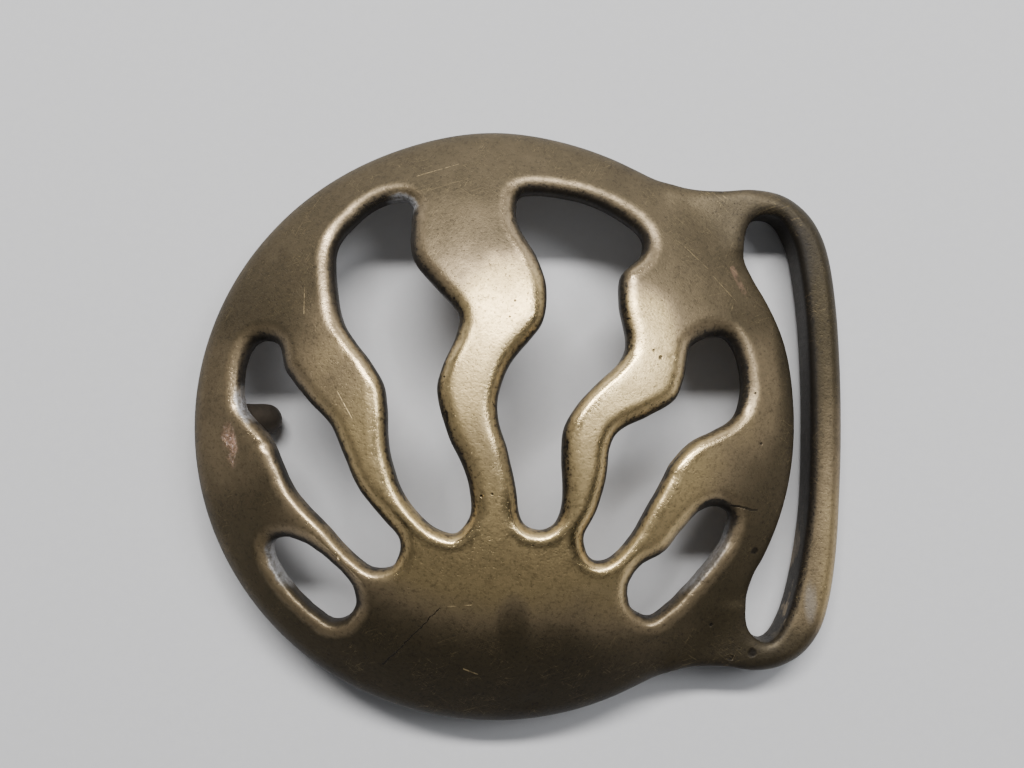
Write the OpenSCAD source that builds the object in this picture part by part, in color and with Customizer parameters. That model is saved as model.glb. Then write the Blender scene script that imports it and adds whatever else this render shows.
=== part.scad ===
// Cast brass belt buckle: a domed round plate pierced into a rising sun with five wavy rays,
// a D-shaped belt loop cast on at the right, and a leaning stud behind the left side.
// Sizes in mm. It lies face up. X runs to the belt loop, Y to the top of the face, Z up.

/* [Face plate] */
// Width of the plate, left to right
plate_w = 63.5; // [63:0.1:64]
// Height of the plate, bottom to top: the real one is slightly oval
plate_h = 62; // [61.5:0.1:63.5]
// Height of the middle of the face above the table
face_top = 15.6; // [15.4:0.1:16.4]
// How far the face falls from its middle to its edge
face_drop = 9.9; // [9.2:0.1:10.1]
// Thickness of the plate, straight down
plate_t = 3.1; // [2.6:0.1:3.4]
// How far the rim stands out at the top of the plate, beyond the plain oval
crown = 0.35; // [0:0.05:0.6]
// How far the rim stands out at the upper right, next to the belt slot
shoulder = 0.35; // [0:0.05:0.5]
// How far the rolled rim reaches in from the edge
rim_round = 1.4; // [1:0.1:2]
// Height of the plate's widest line above the table
rim_line = 5.2; // [4.8:0.1:5.4]
// Height of the rim's lower lip above the table
rim_low = 3; // [2.4:0.1:3]

/* [Pierced sun] */
// Sun's centre, right of the plate's centre
sun_x = 0.35; // [-0.5:0.05:1]
// Sun's centre, below the plate's centre
sun_below = 25.9; // [25.5:0.05:26.3]
// Width of the rolled edge round each window, at the face
edge_roll = 0.8; // [0.4:0.05:0.9]
// Scale of the wave of the rays: 1 is the pattern as drawn
wave = 1; // [0.6:0.05:1.05]

/* [Belt loop] */
// Height of the loop's bar
bar_h = 5.2; // [4.4:0.1:5.6]
// Thickness added to the loop's bar, across the slot
bar_extra = 0; // [-0.4:0.1:0.4]

/* [Stud] */
// Diameter of the stud
stud_d = 3.4; // [3:0.1:3.8]
// Diameter of the stud's wider foot, where it meets the plate
foot_d = 3.9; // [3.8:0.05:4.2]
// How far the wider foot stands out of the plate, along the stud
foot_long = 1.2; // [1:0.1:1.5]
// Distance from the plate's centre to the middle of the stud's round tip
stud_tip_x = 25; // [24.4:0.1:25.6]
// Distance from the plate's centre to the middle of the stud's foot
stud_foot_x = 27.6; // [27.4:0.1:27.9]
// Distance of the stud above the plate's middle line
stud_y = 0.9; // [0:0.1:1.4]
// Depth of the socket that the stud is set in
socket_deep = 1.1; // [0.8:0.1:1.4]
// Clearance between the stud and its socket
socket_gap = 0.03; // [0.02:0.01:0.06]

/* [Hidden] */
brass = [0.60, 0.52, 0.33];
stud_brass = [0.50, 0.42, 0.27];

plate_r = plate_w / 2;
oval = plate_w / plate_h;
steps = 3;          // points drawn between one table row and the next
around = 72;        // flats round the plate
face_bands = 7;     // bands from the middle of the face to the rim
rim_steps = 7;      // bands round the rolled rim
back_bands = 5;     // bands across the hollow back

// Height of the face and of the back at a distance from the plate's centre, along X
function face_z(r) = face_top - face_drop * pow(r / plate_r, 2);
function back_z(r) = face_z(r) - plate_t;
// The cast rim isn't a true oval: how far it stands out at an angle
function swell(a) = crown * exp(-pow((a - 91) / 13, 2)) + shoulder * exp(-pow((a - 17) / 9, 2));
// The same distance for any point, allowing for the oval
function reach(p) = norm([p[0], p[1] * oval]);

// The window tables were read off a photograph, as if they lay on a flatter face than this one.
// A point is drawn in towards the spot below the lens by as much as its true height brings it
// nearer to the lens.
lens = [1.9, 0.95];     // the spot below the lens
lens_z = 106;
drawn_top = 12.5;       // the flatter face of the tables
drawn_drop = 5.5;
function drawn_z(r) = drawn_top - drawn_drop * pow(r / plate_r, 2);
function settled(p) = lens
  + (p - lens) * (lens_z - face_z(reach(p))) / (lens_z - drawn_z(reach(p)));

// The windows. Each row is one rung across the window, from the sun out to the ring:
// [distance from the sun's centre, angle of the left side, angle of the right side]
// in mm and degrees, anticlockwise from the right.
window_1 = [
  [16.6, 156.5, 150.5], [18.0, 160.6, 146.0], [20.5, 159.0, 144.3],
  [23.5, 155.8, 144.1], [25.8, 152.6, 145.4], [27.0, 150.0, 147.6]];
window_2 = [
  [16.1, 133.5, 129.0], [17.6, 138.0, 123.8], [20.5, 138.3, 124.4], [24.0, 137.5, 125.1],
  [28.0, 137.0, 123.6], [31.0, 135.1, 122.6], [34.2, 133.2, 123.6], [38.2, 133.1, 124.2],
  [41.0, 130.2, 123.1], [42.6, 127.0, 124.8]];
window_3 = [
  [16.0, 107.5, 103.5], [17.4, 112.6, 98.7], [19.6, 115.2, 97.8], [22.4, 116.0, 98.7],
  [26.0, 114.6, 101.0], [30.0, 111.7, 101.4], [32.6, 110.7, 99.6], [35.4, 111.6, 96.6],
  [37.6, 112.6, 95.9], [40.4, 113.1, 98.5], [44.0, 112.1, 101.2], [47.6, 110.4, 100.6],
  [49.4, 107.2, 100.1], [50.5, 104.2, 101.3]];
window_4 = [
  [16.3, 79.5, 73.5], [17.6, 82.8, 69.9], [20.0, 84.4, 70.6], [23.5, 87.2, 73.9],
  [26.8, 89.6, 75.3], [29.6, 89.5, 73.8], [32.4, 87.6, 71.2], [35.0, 84.5, 69.1],
  [37.2, 82.7, 69.3], [40.4, 82.8, 72.0], [43.4, 84.6, 72.9], [46.4, 87.1, 71.2],
  [48.6, 87.7, 72.9], [50.2, 86.6, 79.6]];
window_5 = [
  [16.0, 55.0, 50.5], [17.4, 59.6, 47.4], [20.0, 60.2, 47.4], [23.4, 62.0, 49.2],
  [26.6, 64.6, 50.6], [28.8, 63.9, 51.4], [31.4, 60.2, 50.9], [34.0, 57.9, 48.9],
  [36.6, 58.5, 47.7], [39.2, 59.9, 49.6], [41.2, 58.6, 52.4], [42.3, 56.8, 55.0]];
window_6 = [
  [15.8, 31.5, 26.5], [17.0, 37.2, 21.8], [19.2, 39.0, 23.0], [21.6, 37.8, 25.5],
  [24.6, 39.4, 28.4], [27.2, 39.9, 31.0], [28.7, 38.4, 33.4], [29.4, 36.4, 35.0]];
windows = [window_1, window_2, window_3, window_4, window_5, window_6];

// The belt loop, from its upper root round to its lower root. Each row is one section:
// [outer x, outer y, inner x, inner y, low z, high z], x and y from the plate's centre.
loop_rows = [
  [16.6, 26.1, 20.4, 20.0, 3.6, 6.6], [20.8, 25.3, 25.2, 17.0, 3.2, 6.8],
  [24.8, 25.1, 26.5, 18.9, 2.2, 6.6], [27.8, 25.3, 26.8, 21.2, 1.3, 6.3],
  [30.6, 25.1, 28.3, 22.5, 0.6, 5.9], [32.9, 23.9, 30.4, 22.2, 0.2, 5.5],
  [34.8, 21.6, 31.8, 20.0, 0.0, 5.3], [36.1, 18.1, 32.5, 17.4, 0.0, 5.2],
  [36.9, 12.5, 33.2, 12.2, 0.0, 5.2], [37.3, 6.0, 33.6, 6.0, 0.0, 5.2],
  [37.4, -1.0, 33.7, -1.0, 0.0, 5.2], [37.2, -8.0, 33.5, -8.0, 0.0, 5.2],
  [36.8, -14.0, 32.8, -13.7, 0.0, 5.2], [36.1, -18.6, 31.9, -18.0, 0.0, 5.2],
  [35.0, -22.0, 31.0, -20.6, 0.0, 5.3], [33.0, -24.5, 29.8, -22.4, 0.2, 5.5],
  [30.4, -25.7, 28.4, -22.7, 0.6, 5.9], [27.7, -25.8, 26.9, -21.3, 1.3, 6.3],
  [24.8, -25.4, 26.6, -18.8, 2.2, 6.6], [20.8, -25.3, 25.2, -17.2, 3.2, 6.8],
  [16.6, -26.1, 20.4, -20.0, 3.6, 6.6]];
section_points = 12;
section_square = 0.7;   // 1 gives an oval section, less gives a squarer one

bar_reach = max([for (row = loop_rows) row[0]]);
shift_x = (bar_reach - plate_r) / 2;

// A smooth curve through four points in turn, t from 0 to 1 between the middle two
function between(a, b, c, d, t) =
  0.5 * (2 * b + (c - a) * t + (2 * a - 5 * b + 4 * c - d) * t * t
         + (3 * b - a - 3 * c + d) * t * t * t);
function closed_curve(p, n) = let (m = len(p)) [for (i = [0:m - 1], k = [0:n - 1])
  between(p[(i + m - 1) % m], p[i], p[(i + 1) % m], p[(i + 2) % m], k / n)];
function open_curve(p, n) = let (m = len(p)) [for (i = [0:m - 1], k = [0:n - 1])
  if (i < m - 1 || k == 0)
    between(p[max(i - 1, 0)], p[i], p[min(i + 1, m - 1)], p[min(i + 2, m - 1)], k / n)];

// Rung table to outline: up the left side, then back down the right side
function at_sun(d, a) = [sun_x + d * cos(a), d * sin(a) - sun_below];
function rung_points(rows) = let (n = len(rows)) [
  for (row = rows) at_sun(row[0], row[1]),
  for (i = [n - 1:-1:0]) at_sun(rows[i][0], rows[i][2])];
function waved(rows) = let (
    a_l = [for (r = rows) r[1]], a_r = [for (r = rows) r[2]], n = len(rows),
    mid_l = (a_l[1] + a_l[n - 2]) / 2, mid_r = (a_r[1] + a_r[n - 2]) / 2)
  [for (r = rows) [r[0], mid_l + (r[1] - mid_l) * wave, mid_r + (r[2] - mid_r) * wave]];
function window_outline(rows) =
  closed_curve([for (p = rung_points(waved(rows))) settled(p)], steps);

// Step an outline away from the hole by a distance
function stepped(p, d) = let (m = len(p)) [for (i = [0:m - 1])
  let (t = p[(i + 1) % m] - p[(i + m - 1) % m], l = norm(t))
  p[i] + d * [-t[1], t[0]] / l];

// One window's cutter: rings from above the face to below the back.
// The two rings next to the face follow the dome, so the rolled edge is even all round.
module window_cutter(rows) {
  o = window_outline(rows);
  m = len(o);
  n = len(rows);
  // [step out from the window, height over the face, or a fixed height]
  rings = [
    [edge_roll * 1.4, undef, face_top + 3], [edge_roll * 1.4, 0.25, undef],
    [edge_roll * 0.42, -0.4, undef], [0, -1.1, undef], [0, undef, 0.5]];
  pts = [for (g = rings) let (q = stepped(o, g[0])) for (p = q)
    [p[0], p[1], g[2] == undef ? face_z(reach(p)) + g[1] : g[2]]];
  last = steps * (2 * n - 1);
  cap = concat(
    [for (j = [0:steps * (n - 1) - 1]) [j, j + 1, last - j - 1, last - j]],
    [[for (j = [0:steps]) steps * (n - 1) + j]],
    [[for (j = [0:steps]) (last + j) % m]]);
  low = m * (len(rings) - 1);
  sides = [for (g = [0:len(rings) - 2], j = [0:m - 1], h = [0, 1])
    let (a = g * m + j, b = g * m + (j + 1) % m, c = a + m, d = b + m)
    h == 0 ? [a, c, b] : [b, c, d]];
  polyhedron(pts, concat(
    cap, [for (f = cap) [for (i = [len(f) - 1:-1:0]) low + f[i]]], sides), convexity = 6);
}

// The plate before it is pierced: a domed, hollow-backed oval with a rolled rim.
// Its cross-section runs from the middle of the face over the rim to the middle of the back.
module plate_blank() {
  r_in = plate_r - rim_round;
  up = face_z(r_in) - rim_line;
  down = rim_line - rim_low;
  lip_r = r_in - 1.6;
  section = concat(
    [for (i = [1:face_bands - 1]) let (r = r_in * i / face_bands) [r, face_z(r)]],
    [for (i = [0:rim_steps]) let (a = 90 - 180 * i / rim_steps)
      [r_in + rim_round * cos(a), rim_line + (a > 0 ? up : down) * sin(a)]],
    [[r_in - 0.8, rim_low + 0.3]],
    [for (i = [back_bands:-1:1]) let (r = lip_r * i / back_bands) [r, back_z(r)]]);
  n = len(section);
  k = around;
  pts = concat(
    [for (p = section, i = [0:k - 1]) let (
        a = 360 * i / k, r = p[0] + swell(a) * pow(p[0] / plate_r, 4))
      [r * cos(a), r * sin(a) / oval, p[1]]],
    [[0, 0, face_z(0)], [0, 0, back_z(0)]]);
  sides = [for (s = [0:n - 2], i = [0:k - 1], h = [0, 1])
    let (a = s * k + i, b = s * k + (i + 1) % k, c = a + k, d = b + k)
    h == 0 ? [a, b, d] : [a, d, c]];
  polyhedron(pts, concat(
    [for (i = [0:k - 1]) [n * k, (i + 1) % k, i]], sides,
    [for (i = [0:k - 1]) [n * k + 1, (n - 1) * k + i, (n - 1) * k + (i + 1) % k]]),
    convexity = 6);
}

// The belt loop: rounded sections swept through the rows
module belt_loop() {
  rows = open_curve(loop_rows, 2);
  n = len(rows);
  k = section_points;
  top = pow(sin(90 - 180 / k), section_square);
  pts = [for (row = rows) for (i = [0:k - 1]) let (
      a = 180 / k + 360 * i / k,
      u = 0.5 + 0.5 * sign(cos(a)) * pow(abs(cos(a)), section_square) / top,
      v = 0.5 + 0.5 * sign(sin(a)) * pow(abs(sin(a)), section_square) / top,
      out = [row[0], row[1]], inn = [row[2], row[3]],
      w = norm(out - inn),
      p = inn + (out - inn) * (u * (w + bar_extra) / w - bar_extra / w),
      high = row[5] + (bar_h - 5.2))
    [p[0], p[1], max(0, row[4] + (high - row[4]) * v)]];
  sides = [for (s = [0:n - 2], i = [0:k - 1], h = [0, 1])
    let (a = s * k + i, b = s * k + (i + 1) % k, c = a + k, d = b + k)
    h == 0 ? [a, d, b] : [a, c, d]];
  polyhedron(pts, concat(
    [[for (i = [0:k - 1]) i]], sides, [[for (i = [k - 1:-1:0]) (n - 1) * k + i]]),
    convexity = 6);
}

// The stud leans towards the middle of the plate: its foot is set in a blind socket in the back
stud_r = stud_d / 2;
foot_z = back_z(reach([stud_foot_x, stud_y]));
lean = atan((stud_foot_x - stud_tip_x) / (foot_z - stud_r));
stud_free = norm([stud_foot_x - stud_tip_x, foot_z - stud_r]);

// Its shank is straight from the round tip to the foot, so that a belt's punched hole slides up it
shank_long = stud_free - foot_long;
flare = (foot_d - stud_d) / 2;   // the foot widens over twice this length

module along_stud() {
  translate([-stud_tip_x, stud_y, stud_r]) rotate([0, -lean, 0]) children();
}
module stud_socket() {
  along_stud() cylinder(h = stud_free + socket_deep + socket_gap, r = foot_d / 2 + socket_gap, $fn = 48);
}
module stud_solid() {
  along_stud() union() {
    sphere(r = stud_r, $fn = 48);
    cylinder(h = shank_long, r = stud_r, $fn = 48);
    translate([0, 0, shank_long]) cylinder(h = 2 * flare, r1 = stud_r, r2 = foot_d / 2, $fn = 48);
    translate([0, 0, shank_long + 2 * flare])
      cylinder(h = foot_long - 2 * flare + socket_deep, r = foot_d / 2, $fn = 48);
  }
}

module buckle_casting() {
  color(brass) translate([-shift_x, 0, 0]) difference() {
    union() {
      plate_blank();
      belt_loop();
    }
    for (rows = windows) window_cutter(rows);
    stud_socket();
  }
}

module belt_stud() {
  color(stud_brass) translate([-shift_x, 0, 0]) stud_solid();
}

buckle_casting();
belt_stud();
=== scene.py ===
# %% [markdown]
# A cast brass belt buckle, face up on a pale table. The plate is a low oval dome, cut through by six
# windows that leave a rising sun, five wavy rays and a ring. A D-shaped belt loop is cast on at the
# right, and a stud leans behind the left side. This lesson builds it as the founder's pattern maker
# would think of it: a flat pattern first, then a height for every point of it, then the metal's age.

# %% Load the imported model
import math
import bmesh
import bpy
import numpy as np
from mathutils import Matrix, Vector
from mathutils.geometry import delaunay_2d_cdt
from mathutils.kdtree import KDTree


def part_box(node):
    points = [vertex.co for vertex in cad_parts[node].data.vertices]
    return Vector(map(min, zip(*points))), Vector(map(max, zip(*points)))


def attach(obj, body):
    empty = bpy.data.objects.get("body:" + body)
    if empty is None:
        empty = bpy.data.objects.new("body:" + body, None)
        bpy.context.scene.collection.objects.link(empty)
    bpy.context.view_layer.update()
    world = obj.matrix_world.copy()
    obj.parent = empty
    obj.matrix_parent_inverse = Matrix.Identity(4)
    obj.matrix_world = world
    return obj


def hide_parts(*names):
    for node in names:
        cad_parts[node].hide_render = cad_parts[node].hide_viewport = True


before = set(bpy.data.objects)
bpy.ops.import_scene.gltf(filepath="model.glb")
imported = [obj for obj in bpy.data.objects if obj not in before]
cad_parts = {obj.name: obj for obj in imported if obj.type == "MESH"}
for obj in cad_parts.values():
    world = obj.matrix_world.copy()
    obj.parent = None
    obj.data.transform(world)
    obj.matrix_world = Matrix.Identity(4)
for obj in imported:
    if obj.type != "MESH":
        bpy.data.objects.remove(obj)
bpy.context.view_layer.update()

# %% [markdown]
# The drawing is in millimetres from the plate's centre, as on a pattern maker's sheet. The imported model
# is in metres from the middle of the whole buckle, so one number, plate_x, moves a drawing to its place.
# It comes from the casting's own box: the plate's left edge is the box's left edge.

# %% Sizes of the buckle, in millimetres
PLATE_W, PLATE_H = 63.5, 62.0
PLATE_R = PLATE_W / 2
OVAL = PLATE_W / PLATE_H
FACE_TOP, FACE_DROP, PLATE_T = 15.6, 9.9, 3.1
RIM_LOW, BAR_H = 3.0, 5.2
SUN_X, SUN_BELOW = 0.35, 25.9
MM = 0.001

casting_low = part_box("buckle_casting")[0]
plate_x = casting_low[0] + PLATE_R * MM
print("plate's centre at x = %.3f mm" % (plate_x / MM))


def face_z(x, y):
    """Height of the face over a point of the drawing."""
    return FACE_TOP - FACE_DROP * (x * x + (y * OVAL) ** 2) / PLATE_R ** 2


def place(x, y, z):
    """A point of the drawing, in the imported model's metres."""
    return (x * MM + plate_x, y * MM, z * MM)


# %% [markdown]
# The windows were drawn from a photo, as if they lay on a flatter face. A camera close by makes a high
# point look further out than a low one, so each drawn point is first settled: it is drawn in towards the
# spot under the lens by as much as its true height brings it nearer to the lens.
#
# The windows are drawn as rungs of a ladder that climbs from the sun to the ring. A rung needs only
# three numbers: how far it is from the sun's centre, and the angle of its left and right end. A table of
# rungs is short, and it can be compared with the real buckle one ray at a time, which a loose list of
# outline points can't.

# %% The spot under the lens, the lens's height, and the drawing's own flatter face
LENS_X, LENS_Y, LENS_Z = 1.9, 0.95, 106.0
DRAWN_TOP, DRAWN_DROP = 12.5, 5.5


def settled(points):
    p = np.array(points, float)
    far = (p[:, 0] ** 2 + (p[:, 1] * OVAL) ** 2) / PLATE_R ** 2
    pull = (LENS_Z - FACE_TOP + FACE_DROP * far) / (LENS_Z - DRAWN_TOP + DRAWN_DROP * far)
    return (p - (LENS_X, LENS_Y)) * pull[:, None] + (LENS_X, LENS_Y)


# %% Window tables: distance from the sun's centre, angle of the left side, angle of the right side
WINDOWS = {
    "lower_left": [
        (16.6, 156.5, 150.5), (18.0, 160.6, 146.0), (20.5, 159.0, 144.3),
        (23.5, 155.8, 144.1), (25.8, 152.6, 145.4), (27.0, 150.0, 147.6)],
    "left": [
        (16.1, 133.5, 129.0), (17.6, 138.0, 123.8), (20.5, 138.3, 124.4), (24.0, 137.5, 125.1),
        (28.0, 137.0, 123.6), (31.0, 135.1, 122.6), (34.2, 133.2, 123.6), (38.2, 133.1, 124.2),
        (41.0, 130.2, 123.1), (42.6, 127.0, 124.8)],
    "upper_left": [
        (16.0, 107.5, 103.5), (17.4, 112.6, 98.7), (19.6, 115.2, 97.8), (22.4, 116.0, 98.7),
        (26.0, 114.6, 101.0), (30.0, 111.7, 101.4), (32.6, 110.7, 99.6), (35.4, 111.6, 96.6),
        (37.6, 112.6, 95.9), (40.4, 113.1, 98.5), (44.0, 112.1, 101.2), (47.6, 110.4, 100.6),
        (49.4, 107.2, 100.1), (50.5, 104.2, 101.3)],
    "upper_right": [
        (16.3, 79.5, 73.5), (17.6, 82.8, 69.9), (20.0, 84.4, 70.6), (23.5, 87.2, 73.9),
        (26.8, 89.6, 75.3), (29.6, 89.5, 73.8), (32.4, 87.6, 71.2), (35.0, 84.5, 69.1),
        (37.2, 82.7, 69.3), (40.4, 82.8, 72.0), (43.4, 84.6, 72.9), (46.4, 87.1, 71.2),
        (48.6, 87.7, 72.9), (50.2, 86.6, 79.6)],
    "right": [
        (16.0, 55.0, 50.5), (17.4, 59.6, 47.4), (20.0, 60.2, 47.4), (23.4, 62.0, 49.2),
        (26.6, 64.6, 50.6), (28.8, 63.9, 51.4), (31.4, 60.2, 50.9), (34.0, 57.9, 48.9),
        (36.6, 58.5, 47.7), (39.2, 59.9, 49.6), (41.2, 58.6, 52.4), (42.3, 56.8, 55.0)],
    "lower_right": [
        (15.8, 31.5, 26.5), (17.0, 37.2, 21.8), (19.2, 39.0, 23.0), (21.6, 37.8, 25.5),
        (24.6, 39.4, 28.4), (27.2, 39.9, 31.0), (28.7, 38.4, 33.4), (29.4, 36.4, 35.0)],
}

# The belt loop, from its upper root round to its lower root: outer x, outer y, inner x, inner y
LOOP_ROWS = [
    (24.0, 25.1, 26.4, 18.2), (27.5, 25.35, 26.8, 21.2), (30.6, 25.1, 28.3, 22.5), (32.9, 23.9, 30.4, 22.2),
    (34.8, 21.6, 31.8, 20.0), (36.1, 18.1, 32.5, 17.4), (36.9, 12.5, 33.2, 12.2), (37.3, 6.0, 33.6, 6.0),
    (37.4, -1.0, 33.7, -1.0), (37.2, -8.0, 33.5, -8.0), (36.8, -14.0, 32.8, -13.7),
    (36.1, -18.6, 31.9, -18.0), (35.0, -22.0, 31.0, -20.6), (33.0, -24.5, 29.8, -22.4),
    (30.4, -25.7, 28.4, -22.7), (27.7, -25.8, 26.9, -21.3), (24.4, -25.3, 26.6, -18.8)]

# Where the loop's outer edge sweeps into the plate, above and below: x, y
UPPER_SWEEP = [(17.5, 26.15), (20.6, 25.3)]
LOWER_SWEEP = [(20.6, -25.3), (17.6, -26.1)]


# %% Smooth outlines from the tables
def smooth_loop(points, steps=12):
    """A closed curve through the points, as a founder's spline would take them."""
    p = np.array(points, float)
    before, after, after2 = np.roll(p, 1, 0), np.roll(p, -1, 0), np.roll(p, -2, 0)
    parts = []
    for k in range(steps):
        t = k / steps
        parts.append(0.5 * (2 * p + (after - before) * t
                            + (2 * before - 5 * p + 4 * after - after2) * t ** 2
                            + (3 * p - before - 3 * after + after2) * t ** 3))
    return np.stack(parts, 1).reshape(-1, 2)


def even_steps(loop, spacing):
    """The same closed curve with its points at even distances."""
    closed = np.vstack([loop, loop[:1]])
    run = np.concatenate([[0], np.cumsum(np.linalg.norm(np.diff(closed, axis=0), axis=1))])
    count = max(12, round(run[-1] / spacing))
    at = np.arange(count) * run[-1] / count
    return np.stack([np.interp(at, run, closed[:, i]) for i in (0, 1)], 1)


def signed_area(loop):
    nxt = np.roll(loop, -1, 0)
    return 0.5 * np.sum(loop[:, 0] * nxt[:, 1] - nxt[:, 0] * loop[:, 1])


def window_loop(rungs):
    def at_sun(distance, angle):
        a = math.radians(angle)
        return (SUN_X + distance * math.cos(a), distance * math.sin(a) - SUN_BELOW)
    return smooth_loop(settled([at_sun(d, left) for d, left, _ in rungs]
                               + [at_sun(d, right) for d, _, right in reversed(rungs)]))


# Where the cast rim stands out beyond a true oval: angle and half width in degrees, and how far
SWELLS = [(91, 13, 0.35), (17, 9, 0.35)]


def swell(angle):
    return sum(far * math.exp(-((angle - at) / wide) ** 2) for at, wide, far in SWELLS)


def plate_arc(start, end, step):
    """Points on the plate's edge, by angle in degrees."""
    count = round(abs(end - start) / step)
    angles = [start + (end - start) * i / count for i in range(count + 1)]
    return [((PLATE_R + swell(a)) * math.cos(math.radians(a)),
             (PLATE_R + swell(a)) / OVAL * math.sin(math.radians(a))) for a in angles]


# The plate's own parts of the rim and of the belt slot, in degrees, and the points' distance along an edge
FREE_RIM, SLOT_SIDE, ARC_STEP = (62, 298), (-30.5, 30.5), 4
SPACING = 0.36
outer = smooth_loop([(x, y) for x, y, _, _ in reversed(LOOP_ROWS)] + list(reversed(UPPER_SWEEP))
                    + plate_arc(*FREE_RIM, ARC_STEP) + list(reversed(LOWER_SWEEP)))
slot = smooth_loop([(x, y) for _, _, x, y in LOOP_ROWS] + plate_arc(*SLOT_SIDE, ARC_STEP))
edges = {"rim": even_steps(outer, SPACING), "slot": even_steps(slot, SPACING)}
for name, rungs in WINDOWS.items():
    edges[name] = even_steps(window_loop(rungs), SPACING)
for name, loop in edges.items():
    # Metal lies to the left of every edge: round the rim anticlockwise, round a hole clockwise
    if (signed_area(loop) > 0) != (name == "rim"):
        edges[name] = loop[::-1]
    print("%-12s %4d points, %6.1f mm2" % (name, len(loop), abs(signed_area(loop))))

# %% [markdown]
# The flat pattern becomes a mesh. Close to each edge the metal is rolled over, so rings of points follow
# every edge at small, growing steps; further in, an even honeycomb of points is enough for a calm dome.
# A Delaunay mesh joins them. A boolean cut through a dome would be quicker to write, but it leaves long
# splinters just where a polished edge has to catch the light.

# %% Rings beside the edges
WINDOW_RINGS = (0, 0.03, 0.10, 0.22, 0.38, 0.58, 0.82, 1.10)
RIM_RINGS = (0, 0.03, 0.10, 0.22, 0.40, 0.65, 0.95, 1.25, 1.55)
# The rim is filed back by a hair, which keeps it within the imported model's own size
RIM_FILED = 0.05
# A window's edge wanders a little, where the founder's file cleaned it: how far, waves round it, shift
WANDER = [(0.020, 13, 1), (0.008, 29, 2)]


def stepped_in(loop, distance):
    """The loop moved into the metal, which lies to its left."""
    t = np.roll(loop, -1, 0) - np.roll(loop, 1, 0)
    t /= np.linalg.norm(t, axis=1)[:, None]
    return loop + distance * np.stack([-t[:, 1], t[:, 0]], 1)


edges["rim"] = stepped_in(edges["rim"], RIM_FILED)
for turn, name in enumerate(WINDOWS):
    run = np.arange(len(edges[name]))[:, None] * 2 * math.pi / len(edges[name])
    wander = sum(far * np.sin(run * waves + shift * turn) for far, waves, shift in WANDER)
    edges[name] = stepped_in(edges[name], wander)
pattern, joints = [], []
for name, loop in edges.items():
    for ring in (RIM_RINGS if name in ("rim", "slot") else WINDOW_RINGS):
        first = len(pattern)
        ring_points = stepped_in(loop, ring)
        pattern.extend(map(tuple, ring_points))
        joints.extend((first + i, first + (i + 1) % len(loop)) for i in range(len(loop)))
print("rings: %d points" % len(pattern))

# %% [markdown]
# To know how far a point is from the nearest edge, all edge points go into a search tree. The edges are
# kept in one order, rim and slot first, so a point's number also tells whether its edge is a window's.

# %% Honeycomb between the rings
GRID, FINE_GRID = 0.52, 0.27
# Where each comb lies, as distances from the nearest edge
COMB_FROM_WINDOW, COMB_FROM_RIM = 2.40, 1.80
FINE_COMB = (1.24, 2.25)
LOOP_REACH = 38
# Points closer than this are one
SAME_POINT = 1e-6

edge_tree = KDTree(sum(len(loop) for loop in edges.values()))
for i, p in enumerate(np.vstack(list(edges.values()))):
    edge_tree.insert((*p, 0), i)
edge_tree.balance()
window_start = len(edges["rim"]) + len(edges["slot"])


def honeycomb(spacing):
    """Each point of an even honeycomb: x, y, whether the nearest edge is a window's, and how far it is."""
    for k, y in enumerate(np.arange(-PLATE_R, PLATE_R, spacing * math.sqrt(3) / 2)):
        for x in np.arange(-PLATE_R + (k % 2) * spacing / 2, LOOP_REACH, spacing):
            _, nearest, gap = edge_tree.find((x, y, 0))
            yield x, y, nearest >= window_start, gap


def inside_metal(points, batch=4000):
    """Even-odd count of every edge to the right of each point."""
    crossings = np.zeros(len(points), int)
    for loop in edges.values():
        a, b = loop, np.roll(loop, -1, 0)
        for i in range(0, len(points), batch):
            p = points[i:i + batch]
            span = (a[None, :, 1] > p[:, None, 1]) != (b[None, :, 1] > p[:, None, 1])
            rise = np.where(b[:, 1] == a[:, 1], 1e-12, b[:, 1] - a[:, 1])
            x = a[:, 0] + (p[:, None, 1] - a[None, :, 1]) / rise * (b[:, 0] - a[:, 0])
            crossings[i:i + batch] += (span & (x > p[:, None, 0])).sum(1)
    return crossings % 2 == 1


comb = [(x, y) for x, y, at_window, gap in honeycomb(GRID)
        if gap > (COMB_FROM_WINDOW if at_window else COMB_FROM_RIM)]
comb += [(x, y) for x, y, at_window, gap in honeycomb(FINE_GRID)
         if at_window and FINE_COMB[0] < gap < FINE_COMB[1]]
comb = np.array(comb)
pattern += [tuple(p) for p in comb[inside_metal(comb)]]
verts, _, faces, _, _, _ = delaunay_2d_cdt([Vector(p) for p in pattern], joints, [], 0, SAME_POINT)
flat = np.array([tuple(v) for v in verts])
middles = np.array([flat[list(f)].mean(0) for f in faces])
keep = inside_metal(middles)
faces = [f for f, k in zip(faces, keep) if k]
print("flat pattern: %d points, %d faces" % (len(flat), len(faces)))

# %% [markdown]
# Some things can't be seen from the flat drawing alone, so they are stored on its points: how far and how
# deep the nearest edge is rolled over, which differs between the windows, the rim and the loop's bar; the
# small knocks that the buckle has taken in use; and which way that edge looks, for the metal's finish.

# %% The sheet, and what is stored on its points
# Knocks: x, y, radius and depth
KNOCKS = [
    (-23.0, -1.7, 0.45, 0.28), (-23.6, -1.0, 0.45, -0.08), (16.9, 7.9, 0.35, 0.10), (17.7, 7.1, 0.28, 0.10),
    (1.9, 13.6, 0.35, 0.06), (2.6, 11.9, 0.30, 0.06), (23.1, -7.4, 0.8, 0.12), (-7.2, -20.8, 0.8, 0.08),
    (20.7, -26.6, 0.7, 0.10), (4.0, -28.4, 0.9, 0.10)]
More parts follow.
